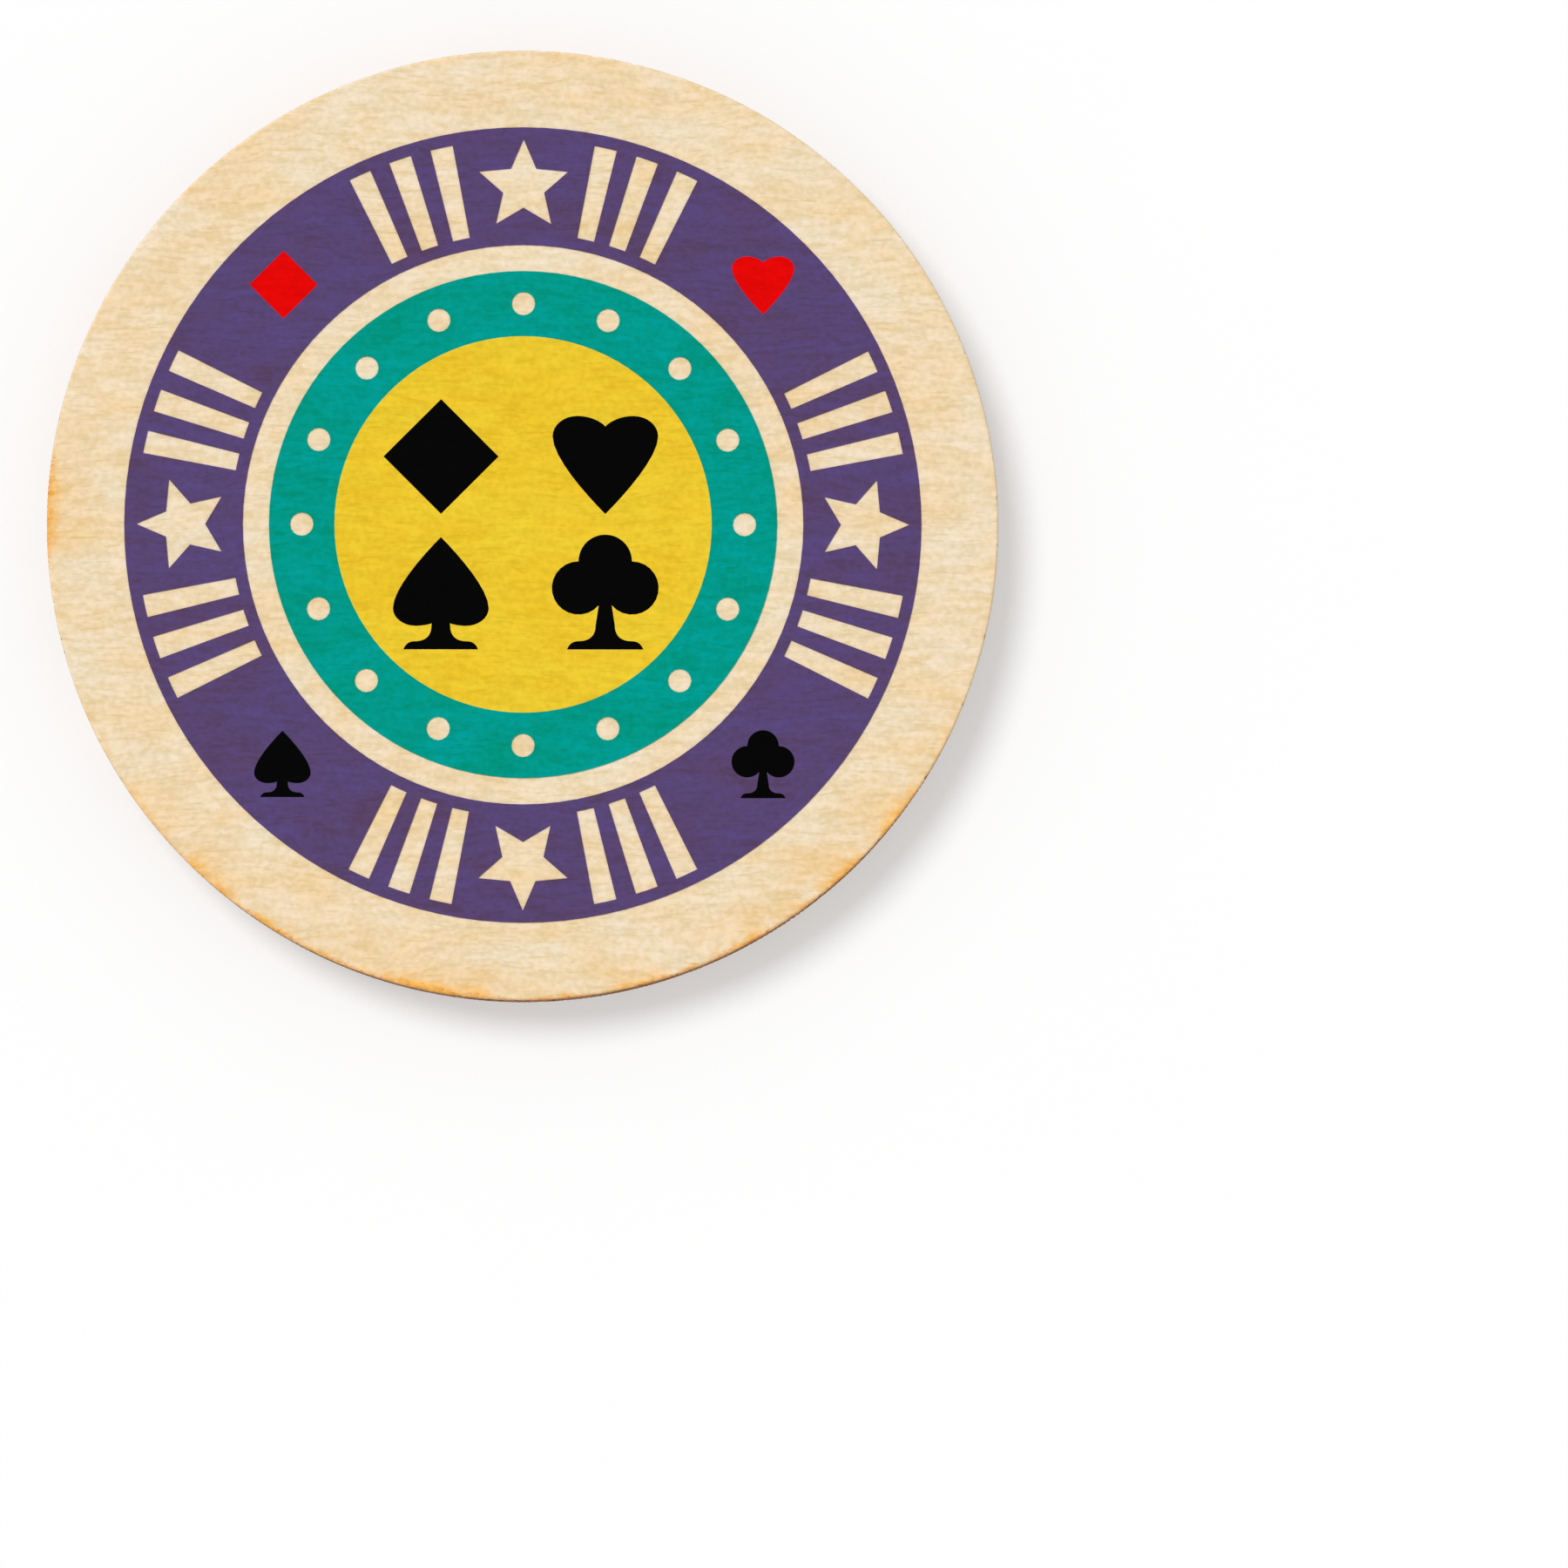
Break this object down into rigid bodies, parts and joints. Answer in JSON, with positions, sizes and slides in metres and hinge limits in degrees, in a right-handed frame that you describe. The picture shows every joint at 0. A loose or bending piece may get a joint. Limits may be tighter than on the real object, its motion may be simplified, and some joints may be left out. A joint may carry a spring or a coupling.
{
  "type": "wooden poker chip",
  "caption": "Round plywood game chip with a tapered laser-cut rim, printed on both faces with rings, card suits and stars; it stacks and slides as a betting counter.",
  "frame": {"origin": "middle of the underside, in the plane of the back print's ink, on which the chip rests", "axes": "+Z out of the front face, +Y the front print's upward direction, X along the face veneers' grain"},
  "size_m": [0.04, 0.04, 0.0033],
  "materials": {
    "birch_face": "sanded bare birch, scorched along the cut edge",
    "birch_core": "laser-cut end grain, browned",
    "glue": "charred resin line",
    "purple_ink": "satin ink film on wood",
    "teal_ink": "satin ink film on wood",
    "yellow_ink": "satin ink film on wood",
    "red_ink": "satin ink film on wood",
    "black_ink": "satin ink film on wood"
  },
  "bodies": {
    "root": {"front_veneer": "birch_face", "front_glue_line": "glue", "core_veneer": "birch_core", "back_glue_line": "glue", "back_veneer": "birch_face", "front_purple_band": "purple_ink", "front_teal_ring": "teal_ink", "front_yellow_centre": "yellow_ink", "front_band_diamond": "red_ink", "front_band_heart": "red_ink", "front_band_spade": "black_ink", "front_band_club": "black_ink", "front_centre_diamond": "black_ink", "front_centre_heart": "black_ink", "front_centre_spade": "black_ink", "front_centre_club": "black_ink", "back_upper_arc": "teal_ink", "back_lower_arc": "teal_ink", "back_upper_star_1": "purple_ink", "back_upper_star_2": "purple_ink", "back_upper_star_3": "purple_ink", "back_upper_star_4": "purple_ink", "back_upper_star_5": "purple_ink", "back_lower_star_1": "purple_ink", "back_lower_star_2": "purple_ink", "back_lower_star_3": "purple_ink", "back_lower_star_4": "purple_ink", "back_lower_star_5": "purple_ink", "back_diamond": "red_ink", "back_heart": "red_ink", "back_spade": "black_ink", "back_club": "black_ink", "back_dot_1": "teal_ink", "back_dot_2": "teal_ink", "back_dot_3": "teal_ink", "back_dot_4": "teal_ink", "back_dot_5": "teal_ink", "back_dot_6": "teal_ink", "back_dot_7": "teal_ink", "back_dot_8": "teal_ink", "back_dot_9": "teal_ink"}
  },
  "joints": []
}
